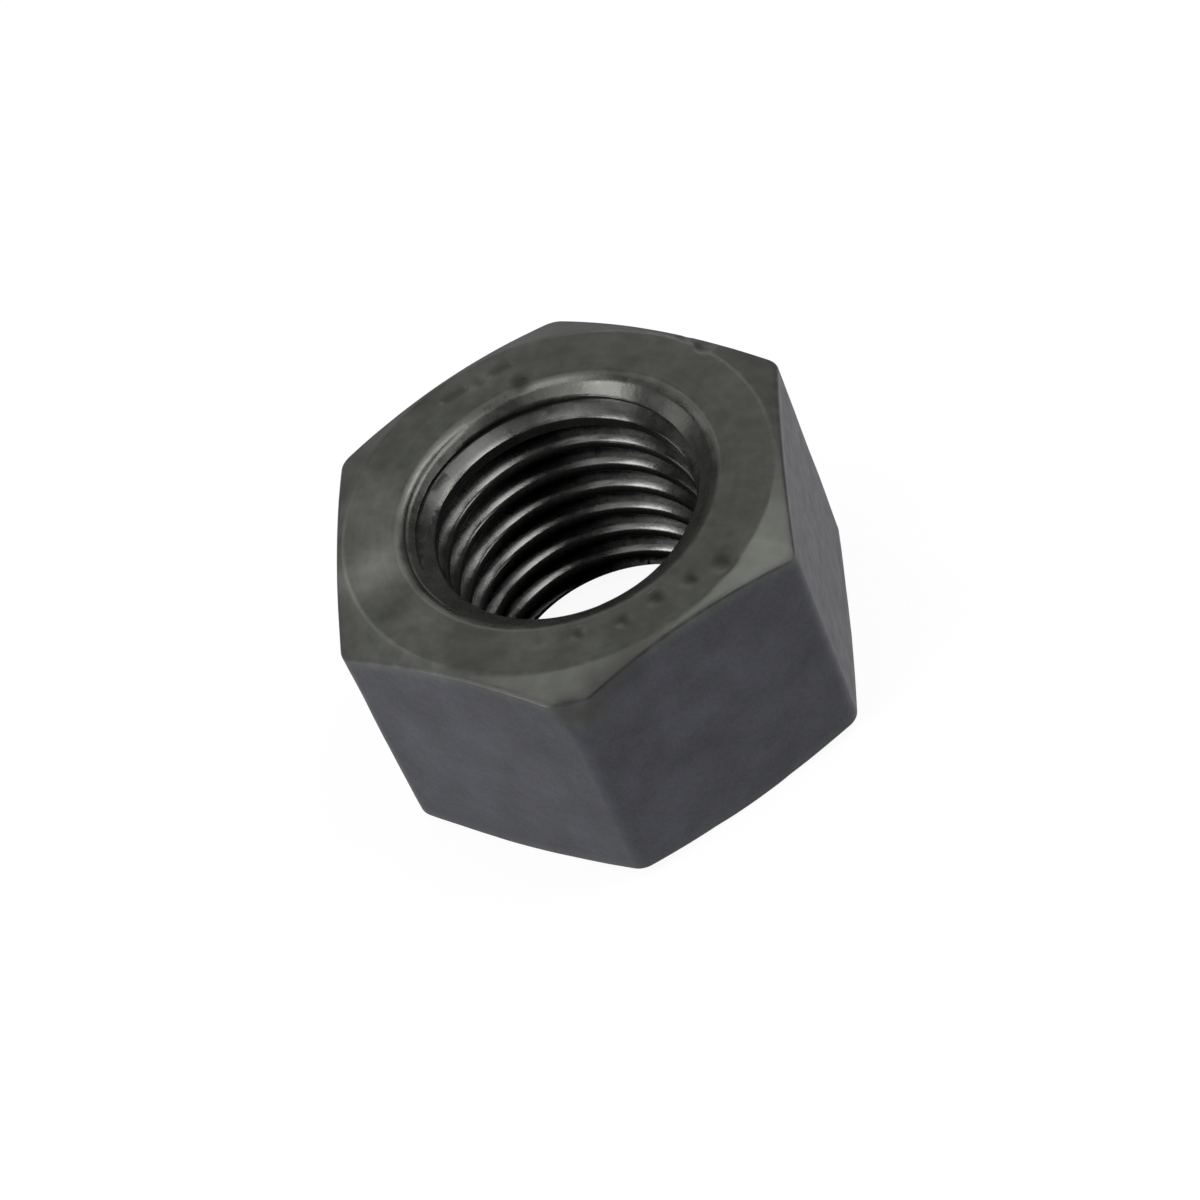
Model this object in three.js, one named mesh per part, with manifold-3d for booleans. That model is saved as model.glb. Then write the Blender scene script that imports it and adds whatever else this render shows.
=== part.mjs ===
// High hexagon nut, M30 x 3.5, as forged, faced, countersunk and tapped.
//
// Frame: millimetres, +Z up along the thread's axis. The origin is the centre of the lower bearing face,
// so the nut stands on z = 0. Two flats face +X and -X, and two corners point along +Y and -Y.
//
// The nut is a single piece of steel, so the group holds one mesh, nut_body.

import * as THREE from 'three';
import { mergeVertices } from 'three/addons/utils/BufferGeometryUtils.js';
import Module from 'manifold-3d';

const wasm = await Module();
wasm.setup();

// ---- Driving dimensions -------------------------------------------------------------------------

const ACROSS_FLATS = 46;
const HEIGHT = 28.6;
const CORNER_RADIUS = 1.8;

const THREAD_DIAMETER = 30;
const PITCH = 3.5;
const THREAD_FLANK_ANGLE = THREE.MathUtils.degToRad(30);
const THREAD_START_ANGLE = THREE.MathUtils.degToRad(238);

// Each end is turned to a cone that takes the corners off: the circle where the cone meets the face,
// and the slope of the cone below that face.
const TOP_CHAMFER_DIAMETER = 44.4;
const TOP_CHAMFER_SLOPE = THREE.MathUtils.degToRad(24);
const BOTTOM_CHAMFER_DIAMETER = 45;
const BOTTOM_CHAMFER_SLOPE = THREE.MathUtils.degToRad(18);

// The upper countersink has a shallow outer rim and a steeper cone inside it. Below them the mouth of
// the bore tapers in to the crests of the thread. The lower countersink is one cone.
const TOP_RIM_DIAMETER = 33.6;
const TOP_RIM_DEPTH = 0.5;
const TOP_CONE_DIAMETER = 31.6;
const TOP_CONE_SLOPE = THREE.MathUtils.degToRad(40);
const MOUTH_DIAMETER = 26.8;
const MOUTH_DEPTH = 6.5;
const BOTTOM_CONE_DIAMETER = 30.6;
const BOTTOM_CONE_SLOPE = THREE.MathUtils.degToRad(40);

// ---- Worked out from them -----------------------------------------------------------------------

const HALF_FLATS = ACROSS_FLATS / 2;
const CORNER_DISTANCE = HALF_FLATS / Math.cos(Math.PI / 6);

// An ISO thread's basic triangle is PITCH wide. The nut's crest is a quarter of the pitch wide, its
// root an eighth, and the groove is five eighths of the triangle's height deep.
const TRIANGLE_HEIGHT = PITCH / (2 * Math.tan(THREAD_FLANK_ANGLE));
const GROOVE_DEPTH = (5 / 8) * TRIANGLE_HEIGHT;
const ROOT_WIDTH = PITCH / 8;
const ROOT_RADIUS = THREAD_DIAMETER / 2;
const CREST_RADIUS = ROOT_RADIUS - GROOVE_DEPTH;

// ---- Fineness -----------------------------------------------------------------------------------

const SEGMENTS_PER_TURN = 48;
const OUTER_SEGMENTS = 96;
const CORNER_SEGMENTS = 5;
const MERGE_DISTANCE = 1e-4;

// How far a cutting solid runs past the metal that it cuts.
const OVERSHOOT = 4;
const GROOVE_OVERSHOOT = PITCH / 8;

// ---- Solids -------------------------------------------------------------------------------------

function solidFrom(geometry) {
  const bare = geometry.clone();
  bare.deleteAttribute('normal');
  bare.deleteAttribute('uv');
  const merged = mergeVertices(bare, MERGE_DISTANCE);
  const vertProperties = new Float32Array(merged.attributes.position.array);
  const triVerts = new Uint32Array(merged.index.array);
  return new wasm.Manifold(new wasm.Mesh({ numProp: 3, vertProperties, triVerts }));
}

function geometryFrom(solid) {
  const mesh = solid.getMesh();
  const geometry = new THREE.BufferGeometry();
  geometry.setAttribute('position', new THREE.BufferAttribute(mesh.vertProperties, 3));
  geometry.setIndex(new THREE.BufferAttribute(mesh.triVerts, 1));
  geometry.computeVertexNormals();
  return geometry;
}

// LatheGeometry turns about Y; this stands its axis up along Z.
function turned(profile, segments) {
  const points = profile.map(([radius, z]) => new THREE.Vector2(radius, z));
  return new THREE.LatheGeometry(points, segments).rotateX(Math.PI / 2);
}

// The bar that the nut is forged from: a hexagon with rounded corners.
function hexagonBar() {
  const outline = new THREE.Shape();
  const arcCentreDistance = CORNER_DISTANCE - CORNER_RADIUS / Math.cos(Math.PI / 6);
  for (let corner = 0; corner < 6; corner += 1) {
    const angle = Math.PI / 6 + (corner * Math.PI) / 3;
    const x = arcCentreDistance * Math.cos(angle);
    const y = arcCentreDistance * Math.sin(angle);
    outline.absarc(x, y, CORNER_RADIUS, angle - Math.PI / 6, angle + Math.PI / 6, false);
  }
  outline.closePath();
  return new THREE.ExtrudeGeometry(outline, {
    depth: HEIGHT,
    steps: 1,
    curveSegments: CORNER_SEGMENTS,
    bevelEnabled: false,
  });
}

// The turned envelope: flat faces at both ends, and a chamfer cone running out past the corners.
function turnedEnvelope() {
  const outerRadius = CORNER_DISTANCE + OVERSHOOT;
  const topRadius = TOP_CHAMFER_DIAMETER / 2;
  const bottomRadius = BOTTOM_CHAMFER_DIAMETER / 2;
  const topDrop = (outerRadius - topRadius) * Math.tan(TOP_CHAMFER_SLOPE);
  const bottomRise = (outerRadius - bottomRadius) * Math.tan(BOTTOM_CHAMFER_SLOPE);
  const profile = [
    [0, 0],
    [bottomRadius, 0],
    [outerRadius, bottomRise],
    [outerRadius, HEIGHT - topDrop],
    [topRadius, HEIGHT],
    [0, HEIGHT],
  ];
  return turned(profile, OUTER_SEGMENTS);
}

// The bell-mouthed and countersunk bore, at the thread's crest diameter.
function countersunkBore() {
  const topConeDepth = ((TOP_CONE_DIAMETER - MOUTH_DIAMETER) / 2) * Math.tan(TOP_CONE_SLOPE);
  const bottomConeDepth = (BOTTOM_CONE_DIAMETER / 2 - CREST_RADIUS) * Math.tan(BOTTOM_CONE_SLOPE);
  const profile = [
    [0, -OVERSHOOT],
    [BOTTOM_CONE_DIAMETER / 2, -OVERSHOOT],
    [BOTTOM_CONE_DIAMETER / 2, 0],
    [CREST_RADIUS, bottomConeDepth],
    [CREST_RADIUS, HEIGHT - MOUTH_DEPTH],
    [MOUTH_DIAMETER / 2, HEIGHT - TOP_RIM_DEPTH - topConeDepth],
    [TOP_CONE_DIAMETER / 2, HEIGHT - TOP_RIM_DEPTH],
    [TOP_RIM_DIAMETER / 2, HEIGHT],
    [TOP_RIM_DIAMETER / 2, HEIGHT + OVERSHOOT],
    [0, HEIGHT + OVERSHOOT],
  ];
  return turned(profile, SEGMENTS_PER_TURN);
}

// The tap's path: a right-hand helix at the root radius, from one pitch below the lower face upwards.
// Along it the section keeps its first direction pointing away from the axis and its second downwards.
class TapPath extends THREE.Curve {
  constructor(turns) {
    super();
    this.turns = turns;
  }

  turnsAboveLowerFace(t) {
    return t * this.turns - 1;
  }

  angleAt(t) {
    return THREAD_START_ANGLE + 2 * Math.PI * this.turnsAboveLowerFace(t);
  }

  getPoint(t, target = new THREE.Vector3()) {
    const angle = this.angleAt(t);
    const z = PITCH * this.turnsAboveLowerFace(t);
    return target.set(ROOT_RADIUS * Math.cos(angle), ROOT_RADIUS * Math.sin(angle), z);
  }

  // A helix is already evenly spaced along its length.
  getPointAt(u, target) {
    return this.getPoint(u, target);
  }

  computeFrenetFrames(segments) {
    const frames = { tangents: [], normals: [], binormals: [] };
    for (let step = 0; step <= segments; step += 1) {
      const angle = this.angleAt(step / segments);
      frames.tangents.push(new THREE.Vector3(-Math.sin(angle), Math.cos(angle), 0));
      frames.normals.push(new THREE.Vector3(Math.cos(angle), Math.sin(angle), 0));
      frames.binormals.push(new THREE.Vector3(0, 0, -1));
    }
    return frames;
  }
}

// The groove that the tap cuts. Its section reaches inwards past the crest on the same flanks, and the
// groove runs out past both faces.
function threadGroove() {
  const turns = Math.ceil(HEIGHT / PITCH) + 2;
  const innerDepth = GROOVE_DEPTH + GROOVE_OVERSHOOT;
  const innerHalfWidth = ROOT_WIDTH / 2 + innerDepth * Math.tan(THREAD_FLANK_ANGLE);
  const section = new THREE.Shape();
  section.moveTo(0, -ROOT_WIDTH / 2);
  section.lineTo(0, ROOT_WIDTH / 2);
  section.lineTo(-innerDepth, innerHalfWidth);
  section.lineTo(-innerDepth, -innerHalfWidth);
  section.closePath();
  return new THREE.ExtrudeGeometry(section, {
    steps: turns * SEGMENTS_PER_TURN,
    extrudePath: new TapPath(turns),
  });
}

// ---- The nut ------------------------------------------------------------------------------------

function nutBody() {
  const blank = solidFrom(hexagonBar()).intersect(solidFrom(turnedEnvelope()));
  const bored = blank.subtract(solidFrom(countersunkBore()));
  const tapped = bored.subtract(solidFrom(threadGroove()));
  const darkSteel = new THREE.MeshStandardMaterial({
    color: 0x4a4a48,
    roughness: 0.45,
    metalness: 0.8,
  });
  const mesh = new THREE.Mesh(geometryFrom(tapped), darkSteel);
  mesh.name = 'nut_body';
  return mesh;
}

const hexNut = new THREE.Group();
hexNut.add(nutBody());

export default hexNut;
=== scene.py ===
"""A high hexagon nut in dark, lightly oiled steel, on a pale light table.

The nut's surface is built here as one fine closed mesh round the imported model's sizes: a section through the
metal is worked out at each angle round the axis, and the sections are joined into rings of faces. Lengths in
this script are in millimetres until the mesh is made, and in metres from there on.
"""

import math

import bmesh
import bpy
import numpy as np
from mathutils import Matrix, Vector, noise


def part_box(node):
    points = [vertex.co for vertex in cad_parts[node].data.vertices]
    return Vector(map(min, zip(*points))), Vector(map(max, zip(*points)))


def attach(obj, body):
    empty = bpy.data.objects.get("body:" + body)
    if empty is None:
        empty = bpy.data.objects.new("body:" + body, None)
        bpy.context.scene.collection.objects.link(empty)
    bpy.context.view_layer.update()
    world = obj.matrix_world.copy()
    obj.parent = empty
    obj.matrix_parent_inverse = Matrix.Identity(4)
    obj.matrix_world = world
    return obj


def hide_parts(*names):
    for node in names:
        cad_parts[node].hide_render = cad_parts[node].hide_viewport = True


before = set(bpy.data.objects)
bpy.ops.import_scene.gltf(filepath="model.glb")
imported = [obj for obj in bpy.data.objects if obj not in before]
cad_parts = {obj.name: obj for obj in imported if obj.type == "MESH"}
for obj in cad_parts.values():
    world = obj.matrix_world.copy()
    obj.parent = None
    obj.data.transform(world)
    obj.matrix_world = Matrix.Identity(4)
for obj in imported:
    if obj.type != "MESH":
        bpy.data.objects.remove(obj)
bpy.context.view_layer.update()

# ---- Sizes, in millimetres ----------------------------------------------------------------------

MM = 0.001
low_corner, high_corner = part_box("nut_body")
ACROSS_FLATS = (high_corner.x - low_corner.x) / MM
HEIGHT = (high_corner.z - low_corner.z) / MM
CORNER_RADIUS = 1.8

THREAD_DIAMETER = 30.0
PITCH = 3.5
THREAD_START_ANGLE = math.radians(238)
TRIANGLE_HEIGHT = PITCH / (2 * math.tan(math.radians(30)))
ROOT_RADIUS = THREAD_DIAMETER / 2
CREST_RADIUS = ROOT_RADIUS - 5 / 8 * TRIANGLE_HEIGHT

TOP_CHAMFER_RADIUS = 22.2
TOP_CHAMFER_SLOPE = math.tan(math.radians(24))
BOTTOM_CHAMFER_RADIUS = 22.5
BOTTOM_CHAMFER_SLOPE = math.tan(math.radians(18))

TOP_RIM_RADIUS = 16.8
TOP_RIM_DEPTH = 0.5
TOP_CONE_RADIUS = 15.8
TOP_CONE_SLOPE = math.tan(math.radians(40))
MOUTH_RADIUS = 13.4
MOUTH_TOP = HEIGHT - TOP_RIM_DEPTH - (TOP_CONE_RADIUS - MOUTH_RADIUS) * TOP_CONE_SLOPE
MOUTH_BOTTOM = HEIGHT - 6.5
BOTTOM_CONE_RADIUS = 15.3
BOTTOM_CONE_SLOPE = math.tan(math.radians(40))

# A strip of face round each rim, where the bore's coarser rings of points meet the outside's finer ones.
RIM_STRIP = 0.6

# ---- Fineness -----------------------------------------------------------------------------------

OUTER_COLUMNS = 660
COLUMNS_PER_BORE_COLUMN = 3
CORNER_CROWDING = 3.0
CORNER_SPREAD = math.radians(3)
WELD_DISTANCE = 1e-6

# How many even rows of points each stretch of the outside has, and how far its edges are softened.
TOP_FACE_ROWS = 28
TOP_CHAMFER_ROWS = 5
SIDE_ROWS = 20
BOTTOM_CHAMFER_ROWS = 3
BOTTOM_FACE_ROWS = 6
EDGE_SOFTNESS = 0.3
LOWER_EDGE_SOFTNESS = 0.45


# ---- The section through the metal --------------------------------------------------------------

def column_angles():
    """Angles round the axis, from 0 to a full turn, crowded where the hexagon's corners are rounded."""
    angle = np.linspace(0, 2 * math.pi, 24 * OUTER_COLUMNS + 1)
    from_corner = (angle % (math.pi / 3)) - math.pi / 6
    density = 1 + CORNER_CROWDING * np.exp(-((from_corner / CORNER_SPREAD) ** 2))
    steps = np.diff(angle) * (density[1:] + density[:-1]) / 2
    share = np.concatenate([[0], np.cumsum(steps)])
    return np.interp(np.linspace(0, share[-1], OUTER_COLUMNS + 1), share, angle)


def hexagon_radius(angle):
    """The distance from the axis to the hexagon's side, whose corners are rounded."""
    corner_distance = ACROSS_FLATS / 2 / math.cos(math.pi / 6)
    arc_centre = corner_distance - CORNER_RADIUS / math.cos(math.pi / 6)
    from_corner = np.abs((angle % (math.pi / 3)) - math.pi / 6)
    flat = ACROSS_FLATS / 2 / np.cos(math.pi / 6 - from_corner)
    arc_end = math.atan2(CORNER_RADIUS / 2, arc_centre + CORNER_RADIUS * math.cos(math.pi / 6))
    across = np.minimum(from_corner, arc_end)
    arc = arc_centre * np.cos(across) + np.sqrt(CORNER_RADIUS**2 - (arc_centre * np.sin(across)) ** 2)
    return np.where(from_corner < arc_end, arc, flat)


def point(radius, z, angle):
    """A point of the section at every angle, as a 2 x angles array of radius and height."""
    return np.stack([radius + 0 * angle, z + 0 * angle])


def softened(before, corner, after, reach, count):
    """Rows of a curve that rounds a corner of the section off, from reach before it to reach after it."""
    ways = [before - corner, after - corner]
    lengths = [np.maximum(np.hypot(*way), 1e-9) for way in ways]
    reach = np.minimum(reach, 0.45 * np.minimum(*lengths))
    ways = [way / length * reach for way, length in zip(ways, lengths)]
    shares = np.linspace(0, 1, count)
    return [corner + (1 - s) ** 2 * ways[0] + s**2 * ways[1] for s in shares]


# How a point of the surface is finished, each from 0 to 1: turned on a lathe; cut by the tap; left bright by
# the cutter or the tap, which on the thread also paints the colour dark in the groove and on the crest as
# painted shade and bright on the flank as a painted highlight; rubbed at an edge, as wear and as a painted
# edge highlight; dirty in a hollow, or darker along the scored line; and painted paler on one side of the
# upper face, a painted highlight.
FINISHES = ("faced", "threaded", "polish_and_painted_light", "worn")
GRIME = "grime"
PAINTED_HIGHLIGHT = "pale"
CONE_POLISH = 0.6


class Section:
    """The rows of a stretch of the section, with how each row is finished."""

    def __init__(self):
        self.rows = []
        self.finish = []

    def add(self, rows, faced=0.0, threaded=0.0, polish_and_painted_light=0.0, worn=0.0):
        for i, row in enumerate(rows):
            self.rows.append(row)
            # Wear and a painted edge highlight, strongest in the middle of an edge's rows.
            share = worn * math.sin(math.pi * (i + 0.5) / len(rows))
            self.finish.append((faced, threaded, polish_and_painted_light, share))

    def add_after(self, count, rows, between, **finish):
        """Adds rows after evenly spaced ones that lead up to them, which have the finish named between."""
        start, end = self.rows[-1], rows[0]
        self.add([start + (end - start) * (i + 1) / (count + 1) for i in range(count)], **between)
        self.add(rows, **finish)


def outer_section(angle):
    """From the upper face's inner edge, out over the upper chamfer, down the sides and in under the nut."""
    side = hexagon_radius(angle)
    top_inner = point(TOP_RIM_RADIUS + RIM_STRIP, HEIGHT, angle)
    top_edge = point(TOP_CHAMFER_RADIUS, HEIGHT, angle)
    top_side = point(side, HEIGHT - (side - TOP_CHAMFER_RADIUS) * TOP_CHAMFER_SLOPE, angle)
    bottom_side = point(side, (side - BOTTOM_CHAMFER_RADIUS) * BOTTOM_CHAMFER_SLOPE, angle)
    bottom_edge = point(BOTTOM_CHAMFER_RADIUS, 0, angle)
    bottom_inner = point(BOTTOM_CONE_RADIUS + RIM_STRIP, 0, angle)
    faced, forged = {"faced": 1}, {"faced": 0}
    section = Section()
    section.add([top_inner], **faced)
    # Each softened edge of the outside is given wear and a painted edge highlight.
    bend = softened(top_inner, top_edge, top_side, EDGE_SOFTNESS, 4)
    section.add_after(TOP_FACE_ROWS, bend, faced, faced=1, worn=0.7)
    bend = softened(top_edge, top_side, bottom_side, EDGE_SOFTNESS, 6)
    section.add_after(TOP_CHAMFER_ROWS, bend, faced, faced=0.6, worn=1)
    bend = softened(top_side, bottom_side, bottom_edge, LOWER_EDGE_SOFTNESS, 6)
    section.add_after(SIDE_ROWS, bend, forged, faced=0.3, worn=0.5)
    bend = softened(bottom_side, bottom_edge, bottom_inner, EDGE_SOFTNESS, 4)
    section.add_after(BOTTOM_CHAMFER_ROWS, bend, faced, faced=1, worn=0.7)
    section.add_after(BOTTOM_FACE_ROWS, [bottom_inner], faced, **faced)
    return section


# The thread's section over one pitch: how far along the pitch each row is from the middle of the root,
# how much of the groove's depth it has, and how far the tap has rubbed it, which sets its gloss and also
# paints its colour dark in the root and on the crest, as painted shade, and bright on the flank by the crest,
# as a painted highlight. The crest's and the root's edges are rounded a little.
THREAD_ROWS = [
    (0.0, 1.0, 0.0),
    (0.05, 0.985, 0.0),
    (0.09, 0.92, 0.0),
    (0.235, 0.444, 0.2),
    (0.32, 0.165, 1.0),
    (0.36, 0.07, 0.45),
    (0.41, 0.015, 0.1),
    (0.5, 0.0, 0.0),
    (0.59, 0.015, 0.1),
    (0.64, 0.07, 0.45),
    (0.68, 0.165, 1.0),
    (0.765, 0.444, 0.2),
    (0.91, 0.92, 0.0),
    (0.95, 0.985, 0.0),
]


def bore_radius(z):
    """The bore's radius at height z before it is tapped: the countersinks, the mouth and the crests."""
    top_cone = TOP_CONE_RADIUS - (HEIGHT - TOP_RIM_DEPTH - z) / TOP_CONE_SLOPE
    mouth = np.interp(z, [MOUTH_BOTTOM, MOUTH_TOP], [CREST_RADIUS, MOUTH_RADIUS])
    bottom_cone = BOTTOM_CONE_RADIUS - z / BOTTOM_CONE_SLOPE
    return np.maximum(np.maximum(top_cone, mouth), bottom_cone)


THREAD_CLEAR_RADIUS = ROOT_RADIUS + 0.05
THREAD_TOP = HEIGHT - TOP_RIM_DEPTH - (TOP_CONE_RADIUS - THREAD_CLEAR_RADIUS) * TOP_CONE_SLOPE
THREAD_BOTTOM = (BOTTOM_CONE_RADIUS - THREAD_CLEAR_RADIUS) * BOTTOM_CONE_SLOPE
CREST_TO_BOTTOM = (BOTTOM_CONE_RADIUS - CREST_RADIUS) * BOTTOM_CONE_SLOPE


def bored(radius, z):
    """A point of the bore's wall: the thread, or the bore before it was tapped where that is wider."""
    inside = np.clip(z, THREAD_BOTTOM, THREAD_TOP)
    wall = np.maximum(radius, bore_radius(inside))
    return np.stack([np.where(z == inside, wall, THREAD_CLEAR_RADIUS), inside])


def cut_by_tap(radius, z):
    """1 on the thread and in the mouth, which the tap has cut bright, and 0 on the countersinks."""
    on_thread = (radius >= bore_radius(z)) & (z > THREAD_BOTTOM) & (z < THREAD_TOP)
    in_mouth = (z < MOUTH_TOP) & (z > CREST_TO_BOTTOM)
    return np.where(on_thread | in_mouth, 1.0, 0.0)


def meeting(upper, lower):
    """How far down from one row to the next the wall turns from thread to bore, or into the mouth, or 0."""
    (radius, z), (radius_below, z_below) = upper, lower
    gap, gap_below = radius - bore_radius(z), radius_below - bore_radius(z_below)
    changes = gap * gap_below < 0
    share = gap / np.where(changes, gap - gap_below, 1)
    kinked = (z > MOUTH_TOP) & (z_below < MOUTH_TOP) & (gap < 0) & (gap_below < 0)
    kink_share = (z - MOUTH_TOP) / np.where(kinked, z - z_below, 1)
    found = np.clip(np.where(changes, share, kink_share), 0.02, 0.98)
    return np.where(changes | kinked, found, 0)


def thread_section(angle):
    """Rows that follow the helix downwards. Where it leaves the metal they close up on the countersinks."""
    rise = PITCH * (angle - THREAD_START_ANGLE) / (2 * math.pi)
    depth = ROOT_RADIUS - CREST_RADIUS
    helix = []
    for turn in range(math.ceil(HEIGHT / PITCH) + 1, -3, -1):
        # rubbed sets each row's gloss, and paints its colour: painted shade in the groove and a painted
        # highlight on the flank.
        for along, share, rubbed in reversed(THREAD_ROWS):
            row = point(CREST_RADIUS + depth * share, PITCH * (turn + along) + rise, angle)
            helix.append((row, rubbed))
    section = Section()
    for (upper, rubbed), (lower, painted_light_below) in zip(helix, helix[1:]):
        share = meeting(upper, lower)
        between = upper + (lower - upper) * share
        painted_light_between = rubbed + (painted_light_below - rubbed) * share
        for row, polish_and_light in ((upper, rubbed), (between, painted_light_between)):
            threaded = cut_by_tap(*row)
            polish_and_painted_light = np.where(threaded > 0, polish_and_light, CONE_POLISH)
            section.add([bored(*row)], faced=1 - threaded, threaded=threaded, polish_and_painted_light=polish_and_painted_light)
    return section


def bore_section(angle):
    """From the upper rim, down through the countersink, the thread and the lower countersink to its rim."""
    top_inner = point(TOP_RIM_RADIUS + RIM_STRIP, HEIGHT, angle)
    top_rim = point(TOP_RIM_RADIUS, HEIGHT, angle)
    top_kink = point(TOP_CONE_RADIUS, HEIGHT - TOP_RIM_DEPTH, angle)
    thread_top = point(THREAD_CLEAR_RADIUS, THREAD_TOP, angle)
    thread_bottom = point(THREAD_CLEAR_RADIUS, THREAD_BOTTOM, angle)
    bottom_rim = point(BOTTOM_CONE_RADIUS, 0, angle)
    bottom_inner = point(BOTTOM_CONE_RADIUS + RIM_STRIP, 0, angle)
    thread = thread_section(angle)
    faced, bright = {"faced": 1}, {"faced": 1, "polish_and_painted_light": CONE_POLISH}
    section = Section()
    section.add([top_inner], **faced)
    # The bore's rims are given wear and a painted edge highlight.
    section.add_after(1, softened(top_inner, top_rim, top_kink, 0.25, 5), faced, faced=1, worn=0.8)
    section.add_after(1, softened(top_rim, top_kink, thread_top, 0.2, 5), bright, **bright)
    section.add_after(2, [thread_top], bright, **bright)
    section.rows += thread.rows
    section.finish += thread.finish
    section.add_after(0, softened(thread_bottom, bottom_rim, bottom_inner, 0.15, 4), faced, faced=1, worn=0.5)
    section.add([bottom_inner], **faced)
    return section


# ---- The mesh -----------------------------------------------------------------------------------

class Surface:
    """Points, their finish, and faces between them."""

    def __init__(self):
        self.points = []
        self.finish = []
        self.faces = []
        self.count = 0

    def add_rows(self, section, angle):
        """Adds a section's points at every angle, and returns their numbers, rows by angles."""
        shape = (len(section.rows), len(angle))
        numbers = np.arange(shape[0] * shape[1]).reshape(shape) + self.count
        for (radius, z), finish in zip(section.rows, section.finish):
            self.points.append(np.stack([radius * np.cos(angle), radius * np.sin(angle), z], axis=1))
            self.finish.append(np.stack([share + 0 * angle for share in finish], axis=1))
        self.count += numbers.size
        return numbers

    def join_rows(self, numbers):
        """Four-sided faces between each row and the next."""
        upper, lower = numbers[:-1], numbers[1:]
        quads = np.stack([upper[:, :-1], lower[:, :-1], lower[:, 1:], upper[:, 1:]], axis=-1)
        self.faces += quads.reshape(-1, 4).tolist()

    def join_rings(self, fine, coarse):
        """Faces between a ring and one with fewer points."""
        step = (len(fine) - 1) // (len(coarse) - 1)
        for i in range(len(coarse) - 1):
            arc = fine[i * step : (i + 1) * step + 1].tolist()
            self.faces.append([int(coarse[i]), *arc, int(coarse[i + 1])])


def nut_surface():
    angle = column_angles()
    bore_angle = angle[::COLUMNS_PER_BORE_COLUMN]
    surface = Surface()
    outer = surface.add_rows(outer_section(angle), angle)
    bore = surface.add_rows(bore_section(bore_angle), bore_angle)
    surface.join_rows(outer)
    surface.join_rows(bore[:, ::-1])
    surface.join_rings(outer[0], bore[0])
    surface.join_rings(outer[-1], bore[-1])
    return surface


# Low waves left by forging on the flats, by facing on the ends and by the tap on the thread: how high
# they are and how long, in millimetres.
FLAT_WAVES = [(0.07, 8.0), (0.02, 2.6)]
FACE_WAVES = [(0.015, 6.0), (0.008, 1.8)]
THREAD_WAVES = [(0.025, 5.0), (0.005, 1.3)]


def waves(place, heights):
    return sum(height * noise.noise(place / length) for height, length in heights)


def ring_place(degrees, radius, z=HEIGHT):
    """A point at an angle and a distance from the axis."""
    angle = math.radians(degrees)
    return Vector((radius * math.cos(angle), radius * math.sin(angle), z))


# Worn punch dots, and the wear and the dirt that the nut has picked up: the middle, how far it reaches, the
# depth, and how dirty it is from 0 to 1.
DENTS = [
    (ring_place(-39, 20.8), 1.95, 0.2, 1.0),
    (ring_place(-48, 19.4), 1.5, 0.2, 1.0),
    (ring_place(-59, 18.5), 1.6, 0.18, 1.0),
    (ring_place(-71, 18.8), 1.35, 0.16, 0.85),
    (ring_place(-85, 18.3), 1.15, 0.15, 0.8),
    (ring_place(113, 19.9), 1.3, 0.14, 0.5),
    (ring_place(101, 17.2), 1.7, 0.1, 1.1),
    (ring_place(45, 22.7), 1.3, 0.3, 0.1),
    (ring_place(52, 22.9), 0.9, 0.15, 0.1),
    (ring_place(-83, 24.4, HEIGHT - 1.4), 3.2, 0.05, 0.7),
    (ring_place(-90, 25.4, HEIGHT - 2.4), 2.2, 0.05, 0.6),
    (ring_place(-86, 25.2, HEIGHT - 3.6), 2.4, 0.04, 0.5),
    (ring_place(-75, 23.4, HEIGHT - 1.6), 3.0, 0.04, 0.6),
]

# Where the upper face is painted paler, as a painted highlight on that side of it: the middle, how far it
# reaches, and how pale it is from 0 to 1.
PAINTED_HIGHLIGHT_PLACES = [
    (ring_place(110, 19.5), 7.0, 0.18),
    (ring_place(166, 19.5), 6.0, 0.75),
    (ring_place(190, 19.0), 6.5, 0.95),
    (ring_place(222, 19.0), 4.5, 0.35),
    (ring_place(258, 19.5), 6.0, 0.12),
]

# Two short struck bars that lie along the ring, each from one end to the other, with how far they reach to
# the side, the depth and the dirt.
BARS = [
    (ring_place(124, 20.3), ring_place(118, 20.1), 0.8, 0.13, 0.6),
    (ring_place(108, 20.0), ring_place(103, 20.2), 0.8, 0.12, 0.6),
]

# A line that the countersinking tool scored where its two slopes meet, on one side of the bore: the
# angle of its middle, how far it runs to each side, how far it reaches, the depth and how much darker it is.
SCORE_ANGLE = math.radians(180)
SCORE_RUN = math.radians(58)
SCORE_REACH = 0.24
SCORE_DEPTH = 0.06
SCORE_DARKENING = 0.8

# No mark reaches below this height.
MARKS_BOTTOM = HEIGHT - 6.5


def hollow(distance, reach):
    """How much of its depth a hollow with soft sides has at a distance from its middle, from 0 to 1."""
    return (1 - min(1, distance / reach) ** 2) ** 2


def relief(place, faced, threaded):
    """How far a point of the surface stands out of the plain shape, in millimetres."""
    height = (1 - faced) * (1 - threaded) * waves(place, FLAT_WAVES)
    return height + faced * waves(place, FACE_WAVES) + threaded * waves(place, THREAD_WAVES)


def scored(place):
    """How much of its depth the scored line has at a point, from 0 to 1."""
    away = abs(math.remainder(math.atan2(place.y, place.x) - SCORE_ANGLE, 2 * math.pi))
    if away > SCORE_RUN:
        return 0
    across = math.hypot(math.hypot(place.x, place.y) - TOP_CONE_RADIUS, place.z - HEIGHT + TOP_RIM_DEPTH)
    return hollow(across, SCORE_REACH) * (1 - (away / SCORE_RUN) ** 4)


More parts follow.
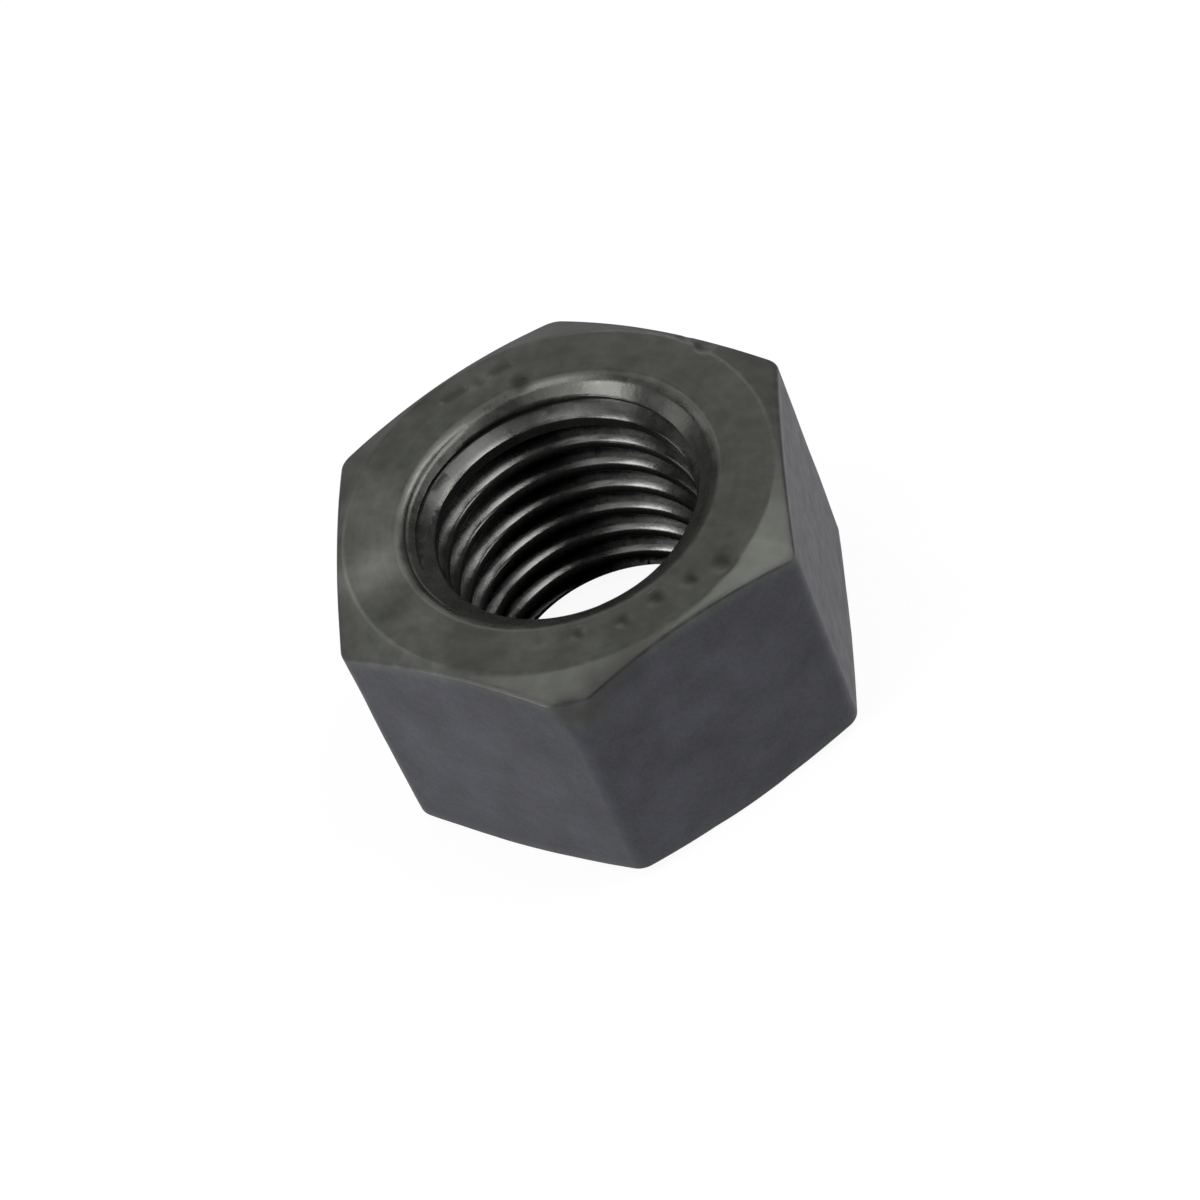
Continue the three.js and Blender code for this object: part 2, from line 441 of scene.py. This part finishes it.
def marked(place):
    """How deep the dents, the bars and the scored line go at a point, in millimetres, and how much darker it
    is: dirty in the dents and bars, and darkened along the scored line.
    """
    if place.z < MARKS_BOTTOM:
        return 0, 0
    shares = [(hollow((place - middle).length, reach), depth, dirt) for middle, reach, depth, dirt in DENTS]
    for start, end, reach, depth, dirt in BARS:
        along = end - start
        share = min(1, max(0, (place - start).dot(along) / along.length_squared))
        shares.append((hollow((place - start - along * share).length, reach), depth, dirt))
    shares.append((scored(place), SCORE_DEPTH, SCORE_DARKENING))
    deep = sum(share * depth for share, depth, _ in shares)
    return deep, min(1, sum(share * dirt for share, _, dirt in shares))


def painted_highlight_share(place):
    """How much paler the surface is painted at a point, as a painted highlight, from 0 to 1."""
    return min(1, sum(pale * hollow((place - middle).length, reach) for middle, reach, pale in PAINTED_HIGHLIGHT_PLACES))


# The corner that took a blow: a small facet from the chamfer down the edge, how far it is soft, and how
# far round it and how fully the forged skin is rubbed off.
FACET_LOW_END = ring_place(270, 26.0, HEIGHT - 4.6)
FACET_TILT = math.radians(12)
FACET_NORMAL = ring_place(270, math.cos(FACET_TILT), math.sin(FACET_TILT))
FACET_SOFTNESS = 0.3
FACET_MIDDLE = ring_place(272, 25.6, HEIGHT - 2.6)
FACET_REACH = 4.2
FACET_RUBBED = 0.8


def faceted(place):
    """A point of the surface, pressed back where it stands out past the facet."""
    proud = (place - FACET_LOW_END).dot(FACET_NORMAL)
    if proud < -FACET_SOFTNESS:
        return place
    if proud < FACET_SOFTNESS:
        proud = (proud + FACET_SOFTNESS) ** 2 / (4 * FACET_SOFTNESS)
    return place - FACET_NORMAL * proud


def mesh_from(surface, name):
    mesh = bpy.data.meshes.new(name)
    points = np.concatenate(surface.points) * MM
    mesh.from_pydata(points.tolist(), [], surface.faces)
    finish = np.concatenate(surface.finish)
    for i, label in enumerate(FINISHES):
        attribute = mesh.attributes.new(label, "FLOAT", "POINT")
        attribute.data.foreach_set("value", finish[:, i].astype(np.float32))
    work = bmesh.new()
    work.from_mesh(mesh)
    bmesh.ops.remove_doubles(work, verts=work.verts, dist=WELD_DISTANCE)
    bmesh.ops.recalc_face_normals(work, faces=work.faces)
    work.normal_update()
    faced = work.verts.layers.float["faced"]
    threaded = work.verts.layers.float["threaded"]
    grime = work.verts.layers.float.new(GRIME)
    pale = work.verts.layers.float.new(PAINTED_HIGHLIGHT)
    for vertex in work.verts:
        place = vertex.co / MM
        depth, vertex[grime] = marked(place)
        vertex[pale] = painted_highlight_share(place)
        proud = relief(place, vertex[faced], vertex[threaded]) - depth
        rubbed = FACET_RUBBED * hollow((place - FACET_MIDDLE).length, FACET_REACH)
        vertex[faced] = max(vertex[faced], rubbed)
        vertex.co = faceted(place + vertex.normal * proud) * MM
    work.to_mesh(mesh)
    work.free()
    return mesh


# ---- The steel ----------------------------------------------------------------------------------

class Nodes:
    """A node tree, with a short call for each kind of node that the materials need."""

    def __init__(self, tree):
        self.tree = tree
        tree.nodes.clear()

    def add(self, kind, inputs=None, **settings):
        node = self.tree.nodes.new(kind)
        for name, value in settings.items():
            setattr(node, name, value)
        for socket, value in (inputs or {}).items():
            if isinstance(value, bpy.types.NodeSocket):
                self.tree.links.new(value, node.inputs[socket])
            else:
                node.inputs[socket].default_value = value
        return node

    def attribute(self, name):
        return self.add("ShaderNodeAttribute", attribute_name=name).outputs["Fac"]

    def math(self, operation, first, second):
        return self.add("ShaderNodeMath", {0: first, 1: second}, operation=operation).outputs[0]

    def ranged(self, value, low, high, to_low, to_high):
        limits = {"Value": value, "From Min": low, "From Max": high, "To Min": to_low, "To Max": to_high}
        return self.add("ShaderNodeMapRange", limits).outputs[0]

    def blend(self, share, first, second):
        """A number between two others."""
        return self.add("ShaderNodeMix", {0: share, 2: first, 3: second}, data_type="FLOAT").outputs[0]

    def mixed(self, share, first, second, blend="MIX"):
        """A colour made of two others."""
        inputs = {0: share, 6: first, 7: second}
        return self.add("ShaderNodeMix", inputs, data_type="RGBA", blend_type=blend).outputs[2]

    def shaded(self, color, pattern, strength):
        """A colour made lighter and darker by a pattern, by up to the given share either way."""
        spread = self.ranged(pattern, 0.3, 0.7, -1, 1)
        factor = self.math("ADD", self.math("MULTIPLY", spread, strength), 1)
        return self.mixed(1.0, color, factor, "MULTIPLY")

    def noise(self, place, wavelength, detail=2.0, roughness=0.5, distortion=0.0):
        """Noise from 0 to 1 whose largest patches are about one wavelength, in millimetres, across."""
        inputs = {
            "Vector": place,
            "Scale": 1 / (wavelength * MM),
            "Detail": detail,
            "Roughness": roughness,
            "Distortion": distortion,
        }
        return self.add("ShaderNodeTexNoise", inputs).outputs["Fac"]

    def rings(self, place, wavelength, detail=2.0):
        """Noise from 0 to 1 that changes only with the distance from the axis, as a lathe leaves it."""
        across = self.add("ShaderNodeVectorMath", {0: place, 1: (1, 1, 0)}, operation="MULTIPLY").outputs[0]
        radius = self.add("ShaderNodeVectorMath", {0: across}, operation="LENGTH").outputs["Value"]
        inputs = {"W": radius, "Scale": 1 / (wavelength * MM), "Detail": detail}
        return self.add("ShaderNodeTexNoise", inputs, noise_dimensions="1D").outputs["Fac"]

    def bump(self, height, depth, normal=None):
        """Relief of the given depth, in millimetres, on top of another."""
        inputs = {"Height": height, "Strength": 1.0, "Distance": depth * MM}
        if normal:
            inputs["Normal"] = normal
        return self.add("ShaderNodeBump", inputs).outputs[0]


FLAT_COLOR = (0.044, 0.045, 0.056, 1)
FACE_COLOR = (0.07, 0.073, 0.063, 1)
CONE_COLOR = (0.094, 0.094, 0.089, 1)
# The thread's colour, which is also painted shade in the groove and on the crest, and the brighter colour
# painted on the flank as a painted highlight.
THREAD_AND_GROOVE_SHADE_COLOR = (0.04, 0.04, 0.039, 1)
PAINTED_FLANK_HIGHLIGHT_COLOR = (0.11, 0.11, 0.104, 1)
# The edges' colour: wear, and also a painted edge highlight.
WEAR_AND_EDGE_HIGHLIGHT_COLOR = (0.13, 0.13, 0.12, 1)
# A paler colour painted on one side of the upper face, as a painted highlight.
PAINTED_HIGHLIGHT_COLOR = (0.155, 0.157, 0.143, 1)
GRIME_COLOR = (0.014, 0.014, 0.013, 1)
FORGED_ROUGHNESS = 0.5
FACED_ROUGHNESS = 0.42
THREAD_ROUGHNESS = 0.29
POLISHED_ROUGHNESS = 0.19
SKIN_METALLIC = 0.5
THREAD_METALLIC = 0.6
POLISHED_METALLIC = 0.9


def dark_steel():
    material = bpy.data.materials.new("dark_steel")
    material.use_nodes = True
    nodes = Nodes(material.node_tree)
    place = nodes.add("ShaderNodeTexCoord").outputs["Object"]
    faced = nodes.attribute("faced")
    threaded = nodes.attribute("threaded")
    polish_and_painted_light = nodes.attribute("polish_and_painted_light")
    worn = nodes.attribute("worn")
    grime = nodes.attribute(GRIME)
    pale = nodes.attribute(PAINTED_HIGHLIGHT)
    forged = nodes.math("SUBTRACT", 1, nodes.math("MAXIMUM", faced, threaded))

    clouds = nodes.noise(place, 9, detail=4, roughness=0.55)
    mottle = nodes.noise(place, 1.6, detail=3, roughness=0.6)
    grain = nodes.noise(place, 0.35, detail=3, roughness=0.6)
    blotches = nodes.noise(place, 4.5, detail=5, roughness=0.62, distortion=0.6)
    rings = nodes.rings(place, 0.7, detail=3)

    color = nodes.mixed(faced, FLAT_COLOR, nodes.mixed(polish_and_painted_light, FACE_COLOR, CONE_COLOR))
    # On the thread the colour is painted dark in the groove and on the crest as painted shade, and bright on
    # the flank as a painted highlight.
    color = nodes.mixed(threaded, color, nodes.mixed(polish_and_painted_light, THREAD_AND_GROOVE_SHADE_COLOR, PAINTED_FLANK_HIGHLIGHT_COLOR))
    # The upper face is painted paler on one side, as a painted highlight.
    color = nodes.mixed(nodes.math("MULTIPLY", pale, faced), color, PAINTED_HIGHLIGHT_COLOR)
    # Edges are painted paler in patches, as wear and as a painted edge highlight.
    rubbed = nodes.math("MULTIPLY", worn, nodes.ranged(mottle, 0.45, 0.75, 0, 0.3))
    color = nodes.mixed(rubbed, color, WEAR_AND_EDGE_HIGHLIGHT_COLOR)
    color = nodes.shaded(color, clouds, 0.16)
    color = nodes.shaded(color, blotches, 0.14)
    color = nodes.shaded(color, mottle, 0.1)
    color = nodes.shaded(color, grain, nodes.math("MULTIPLY", forged, 0.15))
    color = nodes.shaded(color, rings, nodes.math("MULTIPLY", faced, 0.03))
    # Darker where the marks are: dirt in the dents and bars, and a darkened scored line.
    dirty = nodes.math("MULTIPLY", grime, nodes.ranged(mottle, 0.3, 0.6, 0.7, 1.1))
    color = nodes.mixed(nodes.ranged(dirty, 0, 1, 0, 0.85), color, GRIME_COLOR)

    roughness = nodes.blend(faced, FORGED_ROUGHNESS, FACED_ROUGHNESS)
    roughness = nodes.blend(threaded, roughness, THREAD_ROUGHNESS)
    roughness = nodes.blend(polish_and_painted_light, roughness, POLISHED_ROUGHNESS)
    roughness = nodes.math("ADD", roughness, nodes.ranged(mottle, 0.3, 0.7, -0.05, 0.05))

    metallic = nodes.blend(threaded, SKIN_METALLIC, THREAD_METALLIC)
    metallic = nodes.blend(polish_and_painted_light, metallic, POLISHED_METALLIC)

    normal = nodes.bump(nodes.math("MULTIPLY", mottle, forged), 0.045)
    normal = nodes.bump(nodes.math("MULTIPLY", rings, faced), 0.006, normal)
    normal = nodes.bump(mottle, 0.012, normal)
    normal = nodes.bump(grain, 0.01, normal)

    inputs = {
        "Base Color": color,
        "Roughness": roughness,
        "Metallic": metallic,
        "Normal": normal,
    }
    shader = nodes.add("ShaderNodeBsdfPrincipled", inputs)
    nodes.add("ShaderNodeOutputMaterial", {"Surface": shader.outputs[0]})
    return material


surface = nut_surface()
mesh = mesh_from(surface, "nut")
mesh.materials.append(dark_steel())
mesh.shade_smooth()
nut = bpy.data.objects.new("nut", mesh)
bpy.context.scene.collection.objects.link(nut)
weighting = nut.modifiers.new("weighted_normals", "WEIGHTED_NORMAL")
weighting.keep_sharp = False
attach(nut, "root")
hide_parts("nut_body")


# ---- The stage ----------------------------------------------------------------------------------

# The table is a white glowing sheet that only the camera sees, a hair above a greyer one that everything
# else is lit by. Lengths are in metres.
TABLE_SIZE = 4.0
GLASS_GLOW = 0.93
GLASS_COLOR = (0.09, 0.09, 0.09, 1)
BOARD_GLOW = 0.6
BOARD_COLOR = (0.25, 0.25, 0.25, 1)
SHEET_GAP = 0.0001
SHEET_SIDES = 48

# The board is open under the bore, so that the thread is lit from above alone.
BOARD_OPENING = 0.016

# Each softbox's direction from the nut, as an angle round the nut and one above the table in degrees, its
# distance in metres, and its brightness. Its width is a share of its distance.
SOFTBOXES = {
    "left_low": (225, 8, 0.5, 14),
    "left_side": (170, 20, 0.6, 2),
    "left_high": (212, 48, 0.6, 8),
    "left_top": (210, 77, 0.6, 4),
    "front_left_high": (246, 54, 0.6, 1.6),
    "back_low": (90, 28, 0.6, 3.2),
    "back_left_high": (138, 42, 0.6, 3.8),
    "back_right_high": (38, 55, 0.6, 6.3),
    "right_low": (0, 28, 0.6, 6),
    "right_top": (355, 65, 0.6, 5.5),
}
SOFTBOX_SPREAD = 1 / 3


def sheet(name, height, opening, color, glow):
    """A wide plain sheet at a height, with a round opening in its middle, which glows evenly."""
    mesh = bpy.data.meshes.new(name)
    turns = [2 * math.pi * i / SHEET_SIDES for i in range(SHEET_SIDES)]
    rings = [[(r * math.cos(a), r * math.sin(a), height) for a in turns] for r in (opening, TABLE_SIZE / 2)]
    faces = [list(range(SHEET_SIDES))]
    if opening:
        following = [(i + 1) % SHEET_SIDES for i in range(SHEET_SIDES)]
        faces = [(i, SHEET_SIDES + i, SHEET_SIDES + j, j) for i, j in enumerate(following)]
    mesh.from_pydata(rings[0] + rings[1] if opening else rings[1], [], faces)
    material = bpy.data.materials.new(name)
    material.use_nodes = True
    nodes = Nodes(material.node_tree)
    inputs = {
        "Base Color": color,
        "Roughness": 1.0,
        "Specular IOR Level": 0.0,
        "Emission Color": (1, 1, 1, 1),
        "Emission Strength": glow,
    }
    shader = nodes.add("ShaderNodeBsdfPrincipled", inputs)
    nodes.add("ShaderNodeOutputMaterial", {"Surface": shader.outputs[0]})
    mesh.materials.append(material)
    piece = bpy.data.objects.new(name, mesh)
    bpy.context.scene.collection.objects.link(piece)
    return piece


def light_table():
    """The pale table: a glowing sheet that only the camera sees, on a plain one that the nut is lit by."""
    glass = sheet("table_glass", 0, 0, GLASS_COLOR, GLASS_GLOW)
    glass.visible_diffuse = False
    glass.visible_glossy = False
    glass.visible_transmission = False
    glass.visible_shadow = False
    board = sheet("table_board", -SHEET_GAP, BOARD_OPENING, BOARD_COLOR, BOARD_GLOW)
    board.visible_camera = False


def pale_room():
    """A plain white room behind everything, which adds no light of its own."""
    world = bpy.data.worlds.new("pale_room")
    bpy.context.scene.world = world
    world.use_nodes = True
    nodes = Nodes(world.node_tree)
    background = nodes.add("ShaderNodeBackground", {"Color": (1, 1, 1, 1), "Strength": 1.0})
    nodes.add("ShaderNodeOutputWorld", {"Surface": background.outputs[0]})
    world.cycles_visibility.diffuse = False
    world.cycles_visibility.glossy = False


def softbox(name, azimuth, elevation, distance, brightness):
    """A soft square panel that faces the nut from the given direction."""
    data = bpy.data.lights.new(name, "AREA")
    data.shape = "SQUARE"
    data.size = distance * SOFTBOX_SPREAD
    data.energy = brightness * math.pi * data.size**2
    lamp = bpy.data.objects.new(name, data)
    way = Vector((0, 0, 1))
    way.rotate(Matrix.Rotation(math.radians(90 - elevation), 3, "Y"))
    way.rotate(Matrix.Rotation(math.radians(azimuth), 3, "Z"))
    lamp.location = centre + way * distance
    lamp.rotation_euler = way.to_track_quat("Z", "Y").to_euler()
    lamp.visible_camera = False
    bpy.context.scene.collection.objects.link(lamp)


centre = Vector((0, 0, HEIGHT / 2 * MM))
light_table()
pale_room()
for name, settings in SOFTBOXES.items():
    softbox(name, *settings)


# ---- The camera ---------------------------------------------------------------------------------

CAMERA_AZIMUTH = math.radians(15.85)
CAMERA_ELEVATION = math.radians(46.56)
CAMERA_ROLL = math.radians(-24.17)
CAMERA_DISTANCE = 0.4177
CAMERA_LENS = 124.1
CAMERA_RIGHT = 0.31
CAMERA_UP = -1.18


def camera():
    """A camera that looks at the nut's middle from above and in front, turned on its own axis."""
    data = bpy.data.cameras.new("camera")
    data.lens = CAMERA_LENS
    data.sensor_width = 36
    data.clip_start = 0.01
    eye = bpy.data.objects.new("camera", data)
    level = math.cos(CAMERA_ELEVATION)
    back = Vector((
        math.sin(CAMERA_AZIMUTH) * level,
        -math.cos(CAMERA_AZIMUTH) * level,
        math.sin(CAMERA_ELEVATION),
    ))
    turn = Matrix.Rotation(CAMERA_ROLL, 3, back)
    right = turn @ Vector((0, 0, 1)).cross(back).normalized()
    up = back.cross(right)
    place = centre + back * CAMERA_DISTANCE + (right * CAMERA_RIGHT + up * CAMERA_UP) * MM
    eye.matrix_world = Matrix.Translation(place) @ Matrix((right, up, back)).transposed().to_4x4()
    bpy.context.scene.collection.objects.link(eye)
    bpy.context.scene.camera = eye


camera()
bpy.context.scene.view_settings.view_transform = "Standard"
